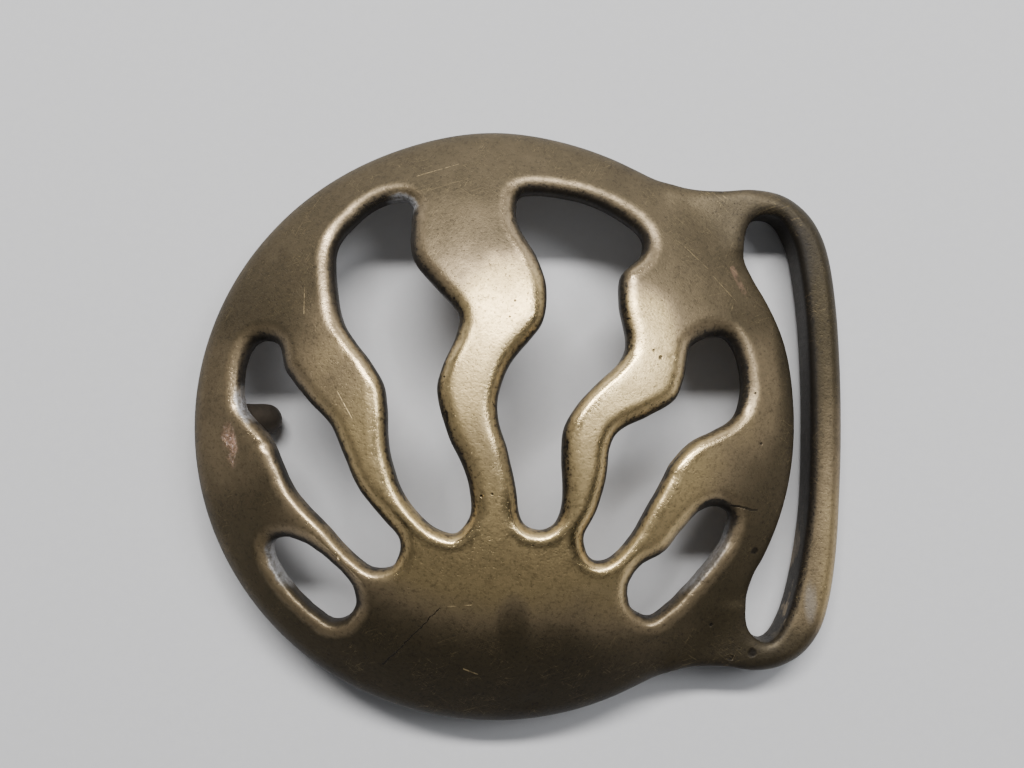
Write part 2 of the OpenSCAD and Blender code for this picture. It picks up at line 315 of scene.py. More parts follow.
# How an edge is rolled: width, height of the roll above, height of the roll below
WINDOW_ROLL, RIM_ROLL = (1.90, 1.62, 0.35), (1.40, 0.60, 1.50)
BAR_OUT, BAR_IN = (1.90, 2.30, 1.70), (0.85, 0.95, 1.20)
# The rim's roll turns into the bar's along x, and only beyond the plate's oval
ALONG_LUG, PAST_OVAL = (26, 33), (1.02, 1.05)
# Places where a window's edge is worn wider: x, y, and how much wider. Each fades out over WORN_REACH
WORN = [(13.9, 20.7, 0.25), (22.3, 10.0, 0.2), (25.6, 4.9, 0.15), (-23.5, 9.5, 0.15), (24.6, -7.3, 0.15)]
WORN_REACH = 3.0
# A window's edge that looks up the drawing was left crisper: how far it looks up, and how much crisper
LOOKS_UP, CRISPER = (0.15, 0.75), 0.42

sheet_mesh = bpy.data.meshes.new("flat_pattern")
sheet_mesh.from_pydata([place(x, y, 0) for x, y in flat], [], [tuple(f) for f in faces])
sheet_build = bmesh.new()
sheet_build.from_mesh(sheet_mesh)
bmesh.ops.delete(sheet_build, geom=[v for v in sheet_build.verts if not v.link_faces], context="VERTS")
sheet_build.to_mesh(sheet_mesh)
sheet_build.free()
if sheet_mesh.polygons[0].normal.z < 0:
    sheet_mesh.flip_normals()
# Which way is out of the metal at each point of an edge
edge_out = np.vstack([loop - stepped_in(loop, 1.0) for loop in edges.values()])


def eased(value, low, high):
    t = min(1, max(0, (value - low) / (high - low)))
    return t * t * (3 - 2 * t)


def faded(x, y, at_x, at_y, reach):
    """1 at a place, and less and less away from it."""
    return math.exp(-((x - at_x) ** 2 + (y - at_y) ** 2) / reach ** 2)


def roll_at(x, y, nearest):
    if nearest >= window_start:
        worn = sum(more * faded(x, y, at_x, at_y, WORN_REACH) for at_x, at_y, more in WORN)
        wider = 1 + worn - eased(edge_out[nearest][1], *LOOKS_UP) * CRISPER
        return tuple(r * k for r, k in zip(WINDOW_ROLL, (wider, 1 + 0.3 * worn, 1)))
    t = eased(x, *ALONG_LUG) * eased(math.hypot(x, y * OVAL) / PLATE_R, *PAST_OVAL)
    bar = BAR_OUT if nearest < len(edges["rim"]) else BAR_IN
    return tuple(a + (b - a) * t for a, b in zip(RIM_ROLL, bar))


def knock_at(x, y):
    return sum(depth * faded(x, y, at_x, at_y, reach) for at_x, at_y, reach, depth in KNOCKS)


rows = []
for v in sheet_mesh.vertices:
    x, y = (v.co.x - plate_x) / MM, v.co.y / MM
    nearest = edge_tree.find((x, y, 0))[1]
    at_window = float(nearest >= window_start)
    rows.append((*roll_at(x, y, nearest), knock_at(x, y), *edge_out[nearest], at_window))
STORED = ("roll_wide", "roll_high", "roll_low", "knock", "out_x", "out_y", "at_window")
for name, column in zip(STORED, zip(*rows)):
    sheet_mesh.attributes.new(name, "FLOAT", "POINT").data.foreach_set("value", column)
print("sheet: %d points" % len(sheet_mesh.vertices))

# %% [markdown]
# Node trees are easier to read as sums. This class wraps one socket: adding or multiplying two of them
# adds the Math node that does it, in a Geometry Nodes tree and in a material alike.

# %% One socket of a node tree
class Wire:
    def __init__(self, tree, socket):
        self.tree, self.socket = tree, socket

    def put(self, target, value):
        """Plug a wire in, or set a plain value."""
        if isinstance(value, Wire):
            self.tree.links.new(value.socket, target)
        else:
            target.default_value = value

    def node(self, kind, settings=None, **plugs):
        """Any node: its settings first, then its sockets by name or number (in_0, in_1)."""
        made = self.tree.nodes.new(kind)
        for key, value in (settings or {}).items():
            setattr(made, key, value)
        for key, value in plugs.items():
            place_at = int(key[3:]) if key.startswith("in_") else key.replace("_", " ")
            self.put(made.inputs[place_at], value)
        return made

    def out(self, kind, settings=None, pick=0, **plugs):
        return Wire(self.tree, self.node(kind, settings, **plugs).outputs[pick])

    def math(self, operation, *others, clamp=False):
        made = self.tree.nodes.new("ShaderNodeMath")
        made.operation, made.use_clamp = operation, clamp
        for target, value in zip(made.inputs, (self, *others)):
            self.put(target, value)
        return Wire(self.tree, made.outputs[0])

    def __add__(self, other): return self.math("ADD", other)
    def __radd__(self, other): return self.math("ADD", other)
    def __sub__(self, other): return self.math("SUBTRACT", other)
    def __rsub__(self, other): return self.reflected("SUBTRACT", other)
    def __mul__(self, other): return self.math("MULTIPLY", other)
    def __rmul__(self, other): return self.math("MULTIPLY", other)
    def __truediv__(self, other): return self.math("DIVIDE", other)
    def __rtruediv__(self, other): return self.reflected("DIVIDE", other)
    def __pow__(self, other): return self.math("POWER", other)
    def __neg__(self): return self.math("MULTIPLY", -1.0)

    def reflected(self, operation, other):
        """A number stands before the operator, as in 1 - mask."""
        return self.out("ShaderNodeMath", {"operation": operation}, in_0=float(other), in_1=self)

    def clamp(self):
        return self.math("ADD", 0.0, clamp=True)

    def rise(self, low, high, smooth=True):
        """0 below low, 1 above high."""
        kind = "SMOOTHSTEP" if smooth else "LINEAR"
        return self.out("ShaderNodeMapRange", {"interpolation_type": kind}, Value=self, From_Min=low,
                        From_Max=high)

    def blend(self, low, high):
        """low where this wire is 0, high where it is 1."""
        return (high - low) * self + low


# %% [markdown]
# Now the pattern is raised. A Geometry Nodes tree does it, because the shape follows one rule: the metal
# is pulled up into four steps of wall, its underside is closed, and each point then gets its height from
# where it lies. The face is a low dome. The back is the same dome a plate's thickness lower, with a lip at
# the rim. Towards an edge both roll over like a quarter of an ellipse. Beyond the plate's oval, the belt
# loop's own top and underside take over, which makes the smooth sweep from plate to lug.

# %% The tree that raises the casting
def new_tree(name, inputs):
    tree = bpy.data.node_groups.new(name, "GeometryNodeTree")
    tree.interface.new_socket("Geometry", in_out="INPUT", socket_type="NodeSocketGeometry")
    for label, value in inputs.items():
        if label == "Metal":
            tree.interface.new_socket(label, in_out="INPUT", socket_type="NodeSocketMaterial")
        else:
            made = tree.interface.new_socket(label, in_out="INPUT", socket_type="NodeSocketFloat")
            made.default_value = value
    tree.interface.new_socket("Geometry", in_out="OUTPUT", socket_type="NodeSocketGeometry")
    return tree


CASTING_SIZES = {
    "Plate centre x": plate_x, "Plate half width": PLATE_R, "Oval": OVAL, "Face top": FACE_TOP,
    "Face drop": FACE_DROP, "Plate thickness": PLATE_T, "Rim low": RIM_LOW, "Bar height": BAR_H,
    "Lug rise": 0.5, "Lug blend": 1.4, "Hand finish": 0.05, "Window bend": 1.8, "Metal": None}
WALL_STEPS = 4
# Along x, where the loop's top comes down to the bar's, its underside to the table, and where the soft
# join between plate and lug narrows
TOP_SETTLES, LOW_SETTLES, JOIN_NARROWS = (22, 34), (22, 32), (27, 33)
# Where a lug is: above or below the middle and to the right, or past the plate's oval on that side
LUG_Y, LUG_X, LUG_PAST, LUG_SIDE = (14, 19), (11, 19), (1.02, 1.04), (8, 14)
# As shares of the plate's half width: the lip at the rim of the back, and where the loop's underside starts
BACK_LIP, LOOP_UNDER = (0.905, 0.955), (1.01, 1.05)
# Away from the lugs the loop's top is dropped this far, out of the plate's way
DROPPED = 12
# Waves per metre of the hand finish
HAND_WAVES = 160.0


def casting_tree():
    tree = new_tree("raise_casting", CASTING_SIZES)
    entry = tree.nodes.new("NodeGroupInput")
    size = {s.name: Wire(tree, s) for s in entry.outputs if s.name}
    sheet = size["Geometry"]

    # Distance from the nearest edge of the metal, which is a line with a face on one side only. It is kept
    # on the points before the walls are pulled up
    sides = sheet.out("GeometryNodeInputMeshEdgeNeighbors")
    lone = sheet.out("FunctionNodeCompare", {"data_type": "INT", "operation": "EQUAL"}, in_2=sides, in_3=1)
    lines = sheet.out("GeometryNodeSeparateGeometry", {"domain": "EDGE"}, Geometry=sheet, Selection=lone)
    gap = sheet.out("GeometryNodeProximity", {"target_element": "EDGES"}, pick="Distance", in_0=lines)
    sheet = sheet.out("GeometryNodeStoreNamedAttribute", {"data_type": "FLOAT", "domain": "POINT"},
                      Geometry=sheet, Name="edge_gap", Value=gap / MM)

    # Four steps of wall, then the underside
    raised, top = sheet, None
    up = sheet.out("ShaderNodeCombineXYZ", Z=1.0)
    for _ in range(WALL_STEPS):
        plugs = {"Mesh": raised, "Offset": up, "Offset_Scale": 1.0, "Individual": False}
        if top is not None:
            plugs["Selection"] = top
        made = sheet.node("GeometryNodeExtrudeMesh", {"mode": "FACES"}, **plugs)
        raised, top = Wire(tree, made.outputs["Mesh"]), Wire(tree, made.outputs["Top"])
    under = sheet.out("GeometryNodeFlipFaces", Mesh=sheet)
    join = tree.nodes.new("GeometryNodeJoinGeometry")
    tree.links.new(raised.socket, join.inputs[0])
    tree.links.new(under.socket, join.inputs[0])
    body = sheet.out("GeometryNodeMergeByDistance", Geometry=Wire(tree, join.outputs[0]),
                     Distance=SAME_POINT)

    # Where each point lies: x and y on the drawing, and how far up the wall
    spot = sheet.out("GeometryNodeInputPosition")
    parts = sheet.node("ShaderNodeSeparateXYZ", Vector=spot)
    px, py, step = (Wire(tree, parts.outputs[i]) for i in range(3))
    x, y = (px - size["Plate centre x"]) / MM, py / MM
    oval_y = y * size["Oval"]
    reach = (x * x + oval_y * oval_y) ** 0.5 / size["Plate half width"]

    # Heights of the face and the back, plate first and loop where the plate ends
    dome = size["Face top"] - size["Face drop"] * reach * reach
    loop_top = size["Bar height"] + size["Lug rise"] * (1 - x.rise(*TOP_SETTLES))
    loop_low = size["Rim low"] * (1 - x.rise(*LOW_SETTLES))
    # The face runs down into the lugs in one sweep: a soft choice of the higher of the two
    at_lug = (y.math("ABSOLUTE").rise(*LUG_Y) * x.rise(*LUG_X)).math(
        "MAXIMUM", reach.rise(*LUG_PAST) * x.rise(*LUG_SIDE))
    loop_here = loop_top - (1 - at_lug) * DROPPED
    soft = size["Lug blend"] * (1 - x.rise(*JOIN_NARROWS))
    high = (dome + loop_here + ((dome - loop_here) ** 2.0 + soft * soft) ** 0.5) / 2
    back = reach.rise(*BACK_LIP).blend(dome - size["Plate thickness"], size["Rim low"])
    low = reach.rise(*LOOP_UNDER).blend(back, loop_low)

    # Rolled edges: a quarter of an ellipse, which is a bend of 2. The metal above a window, where the way
    # out is down the drawing, has a bend of its own and starts to roll more sharply
    def stored(name):
        return sheet.out("GeometryNodeInputNamedAttribute", {"data_type": "FLOAT"}, Name=name)
    t = (1 - stored("edge_gap") / stored("roll_wide")).clamp()
    bend = (stored("at_window") * (-stored("out_y")).rise(0.2, 0.8)).blend(2.0, size["Window bend"])
    roll = 1 - (1 - t ** bend).math("MAXIMUM", 0.0) ** (1 / bend)
    high = high - stored("roll_high") * roll
    low = low + stored("roll_low") * roll

    # A file and a buffing wheel leave the face very slightly uneven. It is lowered by a little more than
    # half of that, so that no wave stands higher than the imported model
    waves = sheet.out("ShaderNodeTexNoise", {"noise_dimensions": "3D"}, Scale=HAND_WAVES, Detail=2.0,
                      Roughness=0.5) - 0.5
    high = high + (waves * 2 - 0.6) * size["Hand finish"] - stored("knock")

    z = (step / WALL_STEPS).blend(low, high) * MM
    moved = sheet.out("GeometryNodeSetPosition", Geometry=body,
                      Position=sheet.out("ShaderNodeCombineXYZ", X=px, Y=py, Z=z))
    smooth = sheet.out("GeometryNodeSetShadeSmooth", Geometry=moved)
    real = sheet.out("GeometryNodeRealizeInstances", Geometry=smooth)
    done = sheet.out("GeometryNodeSetMaterial", Geometry=real, Material=size["Metal"])
    leave = tree.nodes.new("NodeGroupOutput")
    tree.links.new(done.socket, leave.inputs[0])
    return tree


# %% [markdown]
# One helper turns any such tree into a plain mesh: it adds the tree as a modifier, sets the inputs by
# their identifiers, takes the evaluated mesh, and leaves an object with no modifier at the origin.

# %% From a tree to a plain object
def baked_piece(name, mesh, tree, values):
    carrier = bpy.data.objects.new(name + "_pattern", mesh)
    bpy.context.scene.collection.objects.link(carrier)
    modifier = carrier.modifiers.new("raise", "NODES")
    modifier.node_group = tree
    for item in tree.interface.items_tree:
        if item.in_out == "INPUT" and item.name in values:
            modifier[item.identifier] = values[item.name]
    carrier.update_tag()
    bpy.context.view_layer.update()
    graph = bpy.context.evaluated_depsgraph_get()
    result = bpy.data.meshes.new_from_object(carrier.evaluated_get(graph), depsgraph=graph)
    result.name = name
    bpy.data.objects.remove(carrier)
    piece = bpy.data.objects.new(name, result)
    bpy.context.scene.collection.objects.link(piece)
    return piece


# %% [markdown]
# The metal. Old brass is a bright yellow metal under a thin olive-brown skin. Hands and clothes keep the
# high middle and the edges bright; the skin stays in the hollows, along the rim and low on the sun.
# So one mask says how much skin there is, and colour, roughness and shine all follow it. A mask is a
# number from 0 to 1 at every point of the surface. Here it comes from the point's place on the drawing,
# from its edge and from noise, because a stain or a rubbed spot is easiest to describe by where it is.
# Some masks also paint light into the colour: painted shade in the skin and the grime, and painted
# highlights and reflections in a few lighter spots.

# %% Helpers for every material
def new_material(name):
    material = bpy.data.materials.new(name)
    material.use_nodes = True
    tree = material.node_tree
    tree.nodes.clear()
    shader = tree.nodes.new("ShaderNodeBsdfPrincipled")
    leave = tree.nodes.new("ShaderNodeOutputMaterial")
    tree.links.new(shader.outputs[0], leave.inputs[0])
    return material, Wire(tree, None), shader


def mix_colour(w, amount, first, second):
    return w.out("ShaderNodeMix", {"data_type": "RGBA"}, pick=2, in_0=amount, in_6=first, in_7=second)


def noise(w, where, scale, detail, rough, stretch=None):
    if stretch is not None:
        where = w.out("ShaderNodeMapping", Vector=where, Scale=stretch)
    return w.out("ShaderNodeTexNoise", {"noise_dimensions": "3D"}, Vector=where, Scale=scale, Detail=detail,
                 Roughness=rough)


def scratched(w, where, angle, scale, fineness):
    """Thin lines in one direction: a stretched noise, kept only near its middle value."""
    turned_to = w.out("ShaderNodeMapping", {"vector_type": "TEXTURE"}, Vector=where,
                      Rotation=(0, 0, math.radians(angle)), Scale=(1.0, 1 / 26, 1 / 4))
    return 1 - (noise(w, turned_to, scale, 1.0, 0.4) - 0.5).math("ABSOLUTE").rise(0.0, fineness)


# %% Places on the drawing, as masks
class Plan:
    """1 at a place and 0 away from it. All sizes in millimetres."""

    def __init__(self, x, y):
        self.x, self.y = x, y

    def blob(self, x, y, wide, high, soft):
        """An oval, given by its middle and its half width and height, and where it starts to fade."""
        dx, dy = (self.x - x) / wide, (self.y - y) / high
        return 1 - (dx * dx + dy * dy).rise(soft, 1.0)

    def blobs(self, rows, soft):
        """A table of ovals, each with how much it counts."""
        return sum(self.blob(x, y, wide, high, soft) * much for x, y, wide, high, much in rows)

    def line(self, x0, y0, x1, y1, width):
        """A stroke between two points, with soft sides."""
        dx, dy = x1 - x0, y1 - y0
        across, along = self.x - x0, self.y - y0
        t = ((across * dx + along * dy) / (dx * dx + dy * dy)).clamp()
        away = ((across - t * dx) ** 2.0 + (along - t * dy) ** 2.0) ** 0.5
        return 1 - away.rise(width * 0.3, width * 0.6)


# %% [markdown]
# Each point of the brass is asked the same few things: where it is, which way it faces, how far the
# nearest edge is and which way that edge looks, and what the noises say there. They are gathered once.

# %% What the brass knows about a point
# Noises, from broad to fine: how many to the metre, finer layers, how strong those are, and any stretch
CLOUDS, PATCHES, FINE = (110, 4, 0.6), (300, 5, 0.65), (1100, 3, 0.65)
SPECKLE, GRAIN = (2600, 2, 0.7), (4200, 2, 0.6)
SMUDGES, STREAKS = (620, 4, 0.6, (1.0, 0.6, 1.0)), (900, 3, 0.6, (1.0, 0.12, 0.5))
FLANK = (700, 3, 0.6, (1.0, 1.0, 0.12))
# Walls and edges painted pale, as a painted reflection of the bright room, and kept free of painted shade,
# near the rim and at the lower lug: x, y, half width, half height, how much
PALE_WALLS_RIM = [(-26.5, 1.2, 2.2, 3.8, 1.0), (-22.4, -14.0, 3.2, 3.2, 0.8), (-8.8, 23.3, 2.6, 1.7, 1.0)]
PALE_WALLS_LUG = [(20.8, -12.6, 4.8, 5.2, 0.6)]


class Surface:
    def __init__(self, w):
        self.w, self.where = w, w.out("ShaderNodeTexCoord", pick="Object")
        spot = w.node("ShaderNodeSeparateXYZ", Vector=self.where)
        self.x = (Wire(w.tree, spot.outputs[0]) - plate_x) / MM
        self.y = Wire(w.tree, spot.outputs[1]) / MM
        self.plan = Plan(self.x, self.y)
        facing = w.node("ShaderNodeSeparateXYZ", Vector=w.out("ShaderNodeNewGeometry", pick="Normal"))
        self.across, self.up = Wire(w.tree, facing.outputs[0]), Wire(w.tree, facing.outputs[2])
        self.clouds, self.patches, self.fine = self.noise(CLOUDS), self.noise(PATCHES), self.noise(FINE)
        self.speckle, self.grain = self.noise(SPECKLE), self.noise(GRAIN)
        self.smudges, self.streaks = self.noise(SMUDGES), self.noise(STREAKS)

        # The nearest edge: how far it is, made ragged by noise, and whether it is a window's
        self.gap = self.stored("edge_gap") + (self.fine - 0.5) * 0.5 + (self.patches - 0.5) * 0.5
        self.at_rim = 1 - self.stored("at_window")
        # Edges that turn to the big lamp, and edges that turn from it
        self.lit = self.stored("out_y").rise(0.10, 0.70)
        self.shy = (self.stored("out_x") * -0.50 - self.stored("out_y") * 0.85).rise(-0.10, 0.60)
        self.wall = 1 - self.up.rise(0.12, 0.62)
        # Walls and edges at these places are painted pale, as a painted reflection, and kept free of painted
        # shade
        self.pale_walls = (self.plan.blobs(PALE_WALLS_RIM, 0.2) + self.plan.blobs(PALE_WALLS_LUG, 0.3)).clamp()
        self.side = self.wall.math("MAXIMUM", (1 - self.gap.rise(0.35, 0.80)) * self.pale_walls)

    def noise(self, row):
        return noise(self.w, self.where, *row)

    def stored(self, name):
        kind = {"attribute_type": "GEOMETRY", "attribute_name": name}
        return self.w.out("ShaderNodeAttribute", kind, pick="Fac")


# %% [markdown]
# The brown skin is thinnest in the middle, where clothes and hands rub, and thickest round the top. Its map
# also holds painted light: the spots that thin it most, on the third and fourth rays, are painted highlights,
# and it is made darker towards the bottom of the sun. The bar has a map of its own: darker towards its top,
# darker on its inner side, which faces the plate, as painted shade, and lighter low on its outer side.

# %% The brown skin, with painted light in its map
# The rubbed middle: x, y, half width and half height
MIDDLE_X, MIDDLE_Y, MIDDLE_WIDE, MIDDLE_HIGH = 2.0, -3.0, 32, 26
# Where the skin is thicker, or thinner when below 0; the two strongest thin spots, on the third and fourth
# rays, are painted highlights: x, y, half width, half height, how much
SKIN_AND_LIGHT_SPOTS = [
    (24.5, -8, 5, 5, 0.08), (-13, 3.5, 5, 5, 0.22), (0, -2, 6, 5, 0.26), (26, 22, 8, 5, 0.10),
    (2, -19.5, 2.2, 4.5, 0.26), (-28, 1.0, 8, 11, -0.24), (27.5, 3.5, 6, 8, -0.28),
    (1.6, 13.0, 5, 6, -0.42), (14.3, 9.6, 5, 6, -0.46), (-4, 19.5, 6, 5, -0.10),
    (20, 13.5, 6, 5, -0.10), (-17, 9.5, 5, 5, -0.16), (15, -20.5, 8, 6, -0.30), (0, -11.0, 15, 6, -0.30)]
# Past this it thickens ever more slowly, so that no flat dark area forms
THICK_SKIN = 0.8


def skin_and_light_mask(s):
    far = (((s.x - MIDDLE_X) / MIDDLE_WIDE) ** 2.0 + ((s.y - MIDDLE_Y) / MIDDLE_HIGH) ** 2.0) ** 0.5
    # Darker towards the bottom of the sun; the thin spots on the third and fourth rays are painted highlights
    on_plate = (far.rise(0.44, 0.88) * 0.84 + 0.18 + (-s.y).rise(8, 26) * 0.32 + (-s.y).rise(21, 30) * 0.16
                + s.plan.blobs(SKIN_AND_LIGHT_SPOTS, 0.0))
    # Darker towards the bar's top, and on its inner side facing the plate as painted shade
    on_bar = (s.y.rise(-20, 12) * 0.60 + s.y.rise(-2, 16) * 0.35 + 0.42 + (-s.y).rise(19, 23) * 0.35
              + (1 - s.x.rise(33.6, 35.4)) * 0.26)
    skin_and_light = (s.x.rise(29, 31.5).blend(on_plate, on_bar) + (s.clouds - 0.5) * 0.24
            + (s.patches - 0.5) * 0.20 + (s.smudges - 0.5) * 0.16 + (s.fine - 0.5) * 0.12)
    left = 1 - THICK_SKIN
    past = (skin_and_light - THICK_SKIN).math("MAXIMUM", 0.0)
    return (skin_and_light.math("MINIMUM", THICK_SKIN) + left - (past / -left).math("EXPONENT") * left).clamp()


# %% [markdown]
# Black grime sits where polishing doesn't reach: in the last half millimetre before an edge, on the
# windows' walls and in corners. Painted shade is laid in with it: edges and walls that turn from the big
# lamp get about twice as much, and the recesses at the windows' upper ends, the loop's upper corner and
# the bar's side that faces the plate are darkened as painted shade.

# %% The black grime, with painted shade
def grime_and_shade_mask(s):
    near = ((1 - s.gap.rise(0.05, 0.45)) * (s.patches.rise(0.40, 0.62) * 0.3 + 0.35)
            + (1 - s.gap.rise(0.35, 0.95)) * (1 - s.lit) * 0.55
            + (1 - s.gap.rise(0.75, 1.40)) * s.shy * 0.40)
    grime_and_shade = (near * (1 - s.at_rim * 0.55) * (1 - s.pale_walls * 0.9) + s.wall * s.shy.blend(0.32, 0.85)
            - s.pale_walls * s.side * 0.85)
    # Painted shade in the upper ends of the right window, of the lower right one and of the belt slot
    grime_and_shade = (grime_and_shade + s.plan.blob(21.6, 8.0, 2.2, 1.3, 0.3) * 0.75 * (1 - s.up.rise(0.6, 0.95))
            + s.plan.blob(22.4, -7.9, 2.0, 1.2, 0.3) * 0.85 * (1 - s.gap.rise(0.4, 1.4))
            + s.plan.blob(30.6, 19.6, 3.4, 4.0, 0.2) * (1 - s.up.rise(0.5, 0.93)))
    # Painted shade on the side of the bar that faces the plate, with bare streaks in it
    in_slot = s.x.rise(29, 31) * (1 - s.across.rise(-0.55, -0.1))
    grime_and_shade = (grime_and_shade + in_slot * 0.45 + (s.patches - 0.5) * s.wall * 0.7
            - in_slot * s.wall * s.streaks.rise(0.46, 0.60) * 1.10).clamp()
    # Darker still low on the sun, in the loop's upper corner and along the bar's upper half
    return (grime_and_shade + (-s.y).rise(16, 30) * 0.50 + s.x.rise(21, 27) * s.y.rise(13, 21) * 0.22
            + s.x.rise(29, 31) * s.y.rise(-2, 16) * 0.08
            + s.plan.blob(32.0, 18.0, 2.6, 5.0, 0.1) * 0.35).clamp()


# %% [markdown]
# Use has left single marks on the metal. Each is a line or a spot in a table, at its place on the drawing.
# Stains and dark scratches are drawn on a plan whose places are nudged by noise, so that their outlines
# are uneven.

# %% Single marks
# Scratches: x0, y0, x1, y1, width
DARK_SCRATCHES = [(-11.3, -24.2, -5.2, -17.7, 0.15), (24.3, -7.9, 27.2, -8.5, 0.24)]
LIGHT_SCRATCHES = [
    (-4.4, -17.5, -0.2, -17.1, 0.12), (-15.1, 3.7, -13.4, 0.8, 0.12), (-3.0, -24.4, -1.6, -25.0, 0.14),
    (-7.9, 25.9, -3.6, 27.2, 0.06), (19.6, 18.6, 22.0, 16.4, 0.05), (22.6, 15.6, 25.2, 12.9, 0.05),
    (-19.0, 14.5, -18.9, 11.5, 0.07)]
# Pits and stains: x, y, radius
PITS = [
    (2.2, 12.4, 0.13), (1.7, 10.8, 0.11), (16.5, 7.0, 0.24), (15.8, 7.7, 0.16), (26.9, 3.6, 0.14),
    (27.5, -1.6, 0.20), (-4.6, 5.0, 0.12), (-1.0, -6.4, 0.22), (0.0, -6.2, 0.16), (8.9, -10.0, 0.12)]
STAINS = [(27.2, -23.7, 0.6), (24.9, -24.1, 0.4), (29.2, -22.3, 0.6), (22.7, -20.5, 0.3), (27.2, -12.8, 0.5)]
# Where the metal is rubbed coppery: one dent at the left, and two faint lines
COPPER_DENT, DENT_SPOT = (-27.6, 0.2, -26.6, -3.4, 1.9), (-27.1, -1.8, 1.5, 2.8, 0.0)
COPPER_RIGHT, COPPER_LEFT = (24.9, 16.6, 26.0, 14.2, 0.7), (-22.4, 7.6, -20.4, 4.9, 0.8)


def single_marks(s):
    uneven = Plan(s.x + (s.fine - 0.5) * 0.6, s.y + (s.patches - 0.5) * 0.8)
    dark = sum(uneven.line(*row) for row in DARK_SCRATCHES).clamp()
    light = (sum(s.plan.line(*row) for row in LIGHT_SCRATCHES) * s.fine.rise(0.38, 0.60)).clamp()
    pits = (sum(s.plan.blob(x, y, r, r, 0.1) for x, y, r in PITS)
            + sum(uneven.blob(x, y, r, r, 0.1) for x, y, r in STAINS)).clamp()
    dent = s.plan.line(*COPPER_DENT) * s.plan.blob(*DENT_SPOT) * s.patches.rise(0.40, 0.66)
    copper = (dent * (s.grain.rise(0.40, 0.58) * 0.5 + 0.35)
              + s.plan.line(*COPPER_RIGHT) * s.patches.rise(0.42, 0.62) * 0.14
              + s.plan.line(*COPPER_LEFT) * s.patches.rise(0.4, 0.6) * 0.5).clamp()
    return dark, light, pits, dent, copper


# %% [markdown]
# Last, the masks meet the shader. The colour is laid on in the order in which age would have done it, with
# painted light mixed in: brass, skin with its painted light, copper where it is rubbed off again, grime with
# its painted shade, the fresh scratches, painted pink glints in the coppery dent, and a pale painted
# reflection on some walls and low on the bar. The bump takes its heights in millimetres, so a pit of 0.06
# is as deep as it would be on the drawing.

# %% Aged brass
BRIGHT_BRASS = (0.88, 0.665, 0.335, 1)
WARM_BRASS = (0.74, 0.550, 0.275, 1)
DULL_BRASS = (0.80, 0.605, 0.365, 1)
BROWN_SKIN_AND_SHADE = (0.049, 0.038, 0.020, 1)
COPPER_TINT = (0.98, 0.56, 0.40, 1)
PINK_GLINT = (1.0, 0.80, 0.72, 1)
BLACK_GRIME_AND_SHADE = (0.018, 0.014, 0.010, 1)
PALE_PAINTED_REFLECTION = (0.42, 0.43, 0.46, 1)
BRASS_ROUGHNESS = 0.43
# Hair-fine scratches: angle and scale. Polishing marks: angle, scale, fineness and depth
HAIRS, HAIR_FINENESS = ((62, 150), (18, 110), (-38, 130)), 0.010
POLISH = ((8, 95, 0.035, 0.0008), (62, 80, 0.02, 0.0016), (-38, 70, 0.018, 0.0016))
# The spot on the bar's lower end with a pale painted reflection
REFLECTION_SPOT = (33.5, -18.4, 0.9, 2.8, 0.0)


